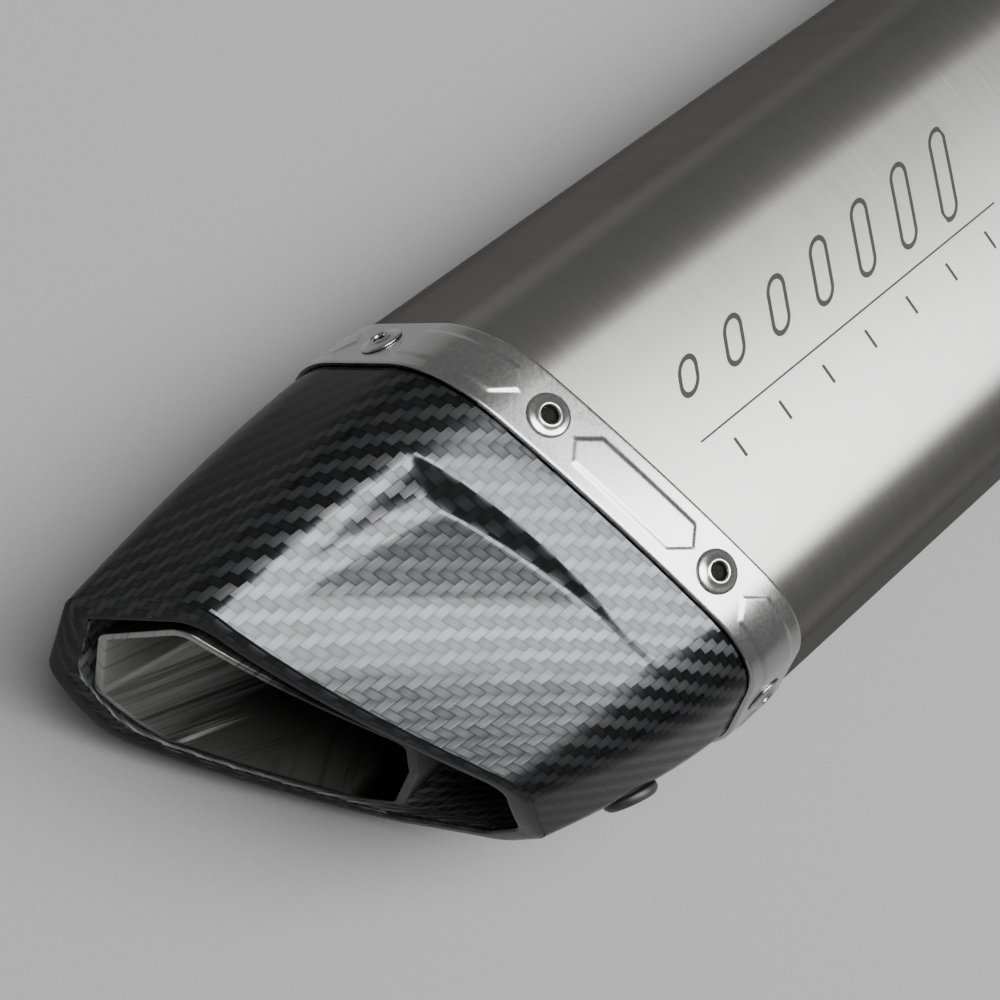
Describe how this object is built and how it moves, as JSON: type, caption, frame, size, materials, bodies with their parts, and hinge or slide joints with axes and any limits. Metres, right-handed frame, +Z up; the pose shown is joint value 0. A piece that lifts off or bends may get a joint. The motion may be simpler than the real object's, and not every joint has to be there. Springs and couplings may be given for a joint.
{
  "type": "motorcycle slip-on silencer",
  "caption": "Hexagonal brushed-titanium slip-on silencer with riveted end bands, a slash-cut carbon end cap, steel liner, rubber bung, removable baffle, hanger strap and inlet socket.",
  "frame": {"origin": "centre of the inlet face, on the axis of the inlet bore", "axes": "+Y out of the inlet along the silencer's axis, the outlet towards -Y; +Z up with the silencer lying on one flat, so the flats face +Z and -Z and the noses +X and -X"},
  "size_m": [0.1649, 0.4725, 0.1034],
  "materials": {
    "titanium": "brushed",
    "carbon": "clear-coated twill",
    "liner_steel": "brushed, scratched",
    "inner_steel": "mill finish",
    "band_steel": "satin",
    "rivet_steel": "satin",
    "stem_steel": "dull",
    "wool": "matted",
    "glass_fibre": "matted",
    "cap_steel": "satin",
    "rubber": "matt",
    "screw_steel": "bright",
    "strap_steel": "satin"
  },
  "bodies": {
    "silencer": {"sleeve": "titanium", "end_cap": "carbon", "outlet_liner": "liner_steel", "outlet_bulkhead": "inner_steel", "baffle_holder": "inner_steel", "outlet_band": "band_steel", "outlet_rivets": "rivet_steel", "outlet_rivet_stems": "stem_steel", "core_tube": "inner_steel", "steel_wool": "wool", "packing": "glass_fibre", "inlet_bulkhead": "inner_steel", "inlet_cap": "cap_steel", "inlet_band": "band_steel", "inlet_rivets": "rivet_steel", "inlet_rivet_stems": "stem_steel", "inlet_tube": "cap_steel", "spring_hooks": "cap_steel"},
    "bung": {"rubber_bung": "rubber"},
    "baffle": {"baffle": "inner_steel"},
    "screw": {"baffle_screw": "screw_steel"},
    "hanger": {"strap": "strap_steel", "strap_rubber": "rubber", "strap_bolt": "screw_steel", "strap_nut": "screw_steel", "strap_washers": "screw_steel", "hanger_bush": "screw_steel"}
  },
  "joints": [
    {"name": "bung_pull", "type": "slide", "parent": "silencer", "child": "bung", "axis": [0.9748, -0.2232, 0], "range_m": [0, 0.02]},
    {"name": "screw_back_out", "type": "slide", "parent": "silencer", "child": "screw", "axis": [1, 0, 0], "range_m": [0, 0.008]},
    {"name": "baffle_draw", "type": "slide", "parent": "silencer", "child": "baffle", "axis": [0, -1, 0], "range_m": [0, 0.175]},
    {"name": "strap_shift", "type": "slide", "parent": "silencer", "child": "hanger", "axis": [0, 1, 0], "range_m": [-0.12, 0.035]}
  ]
}
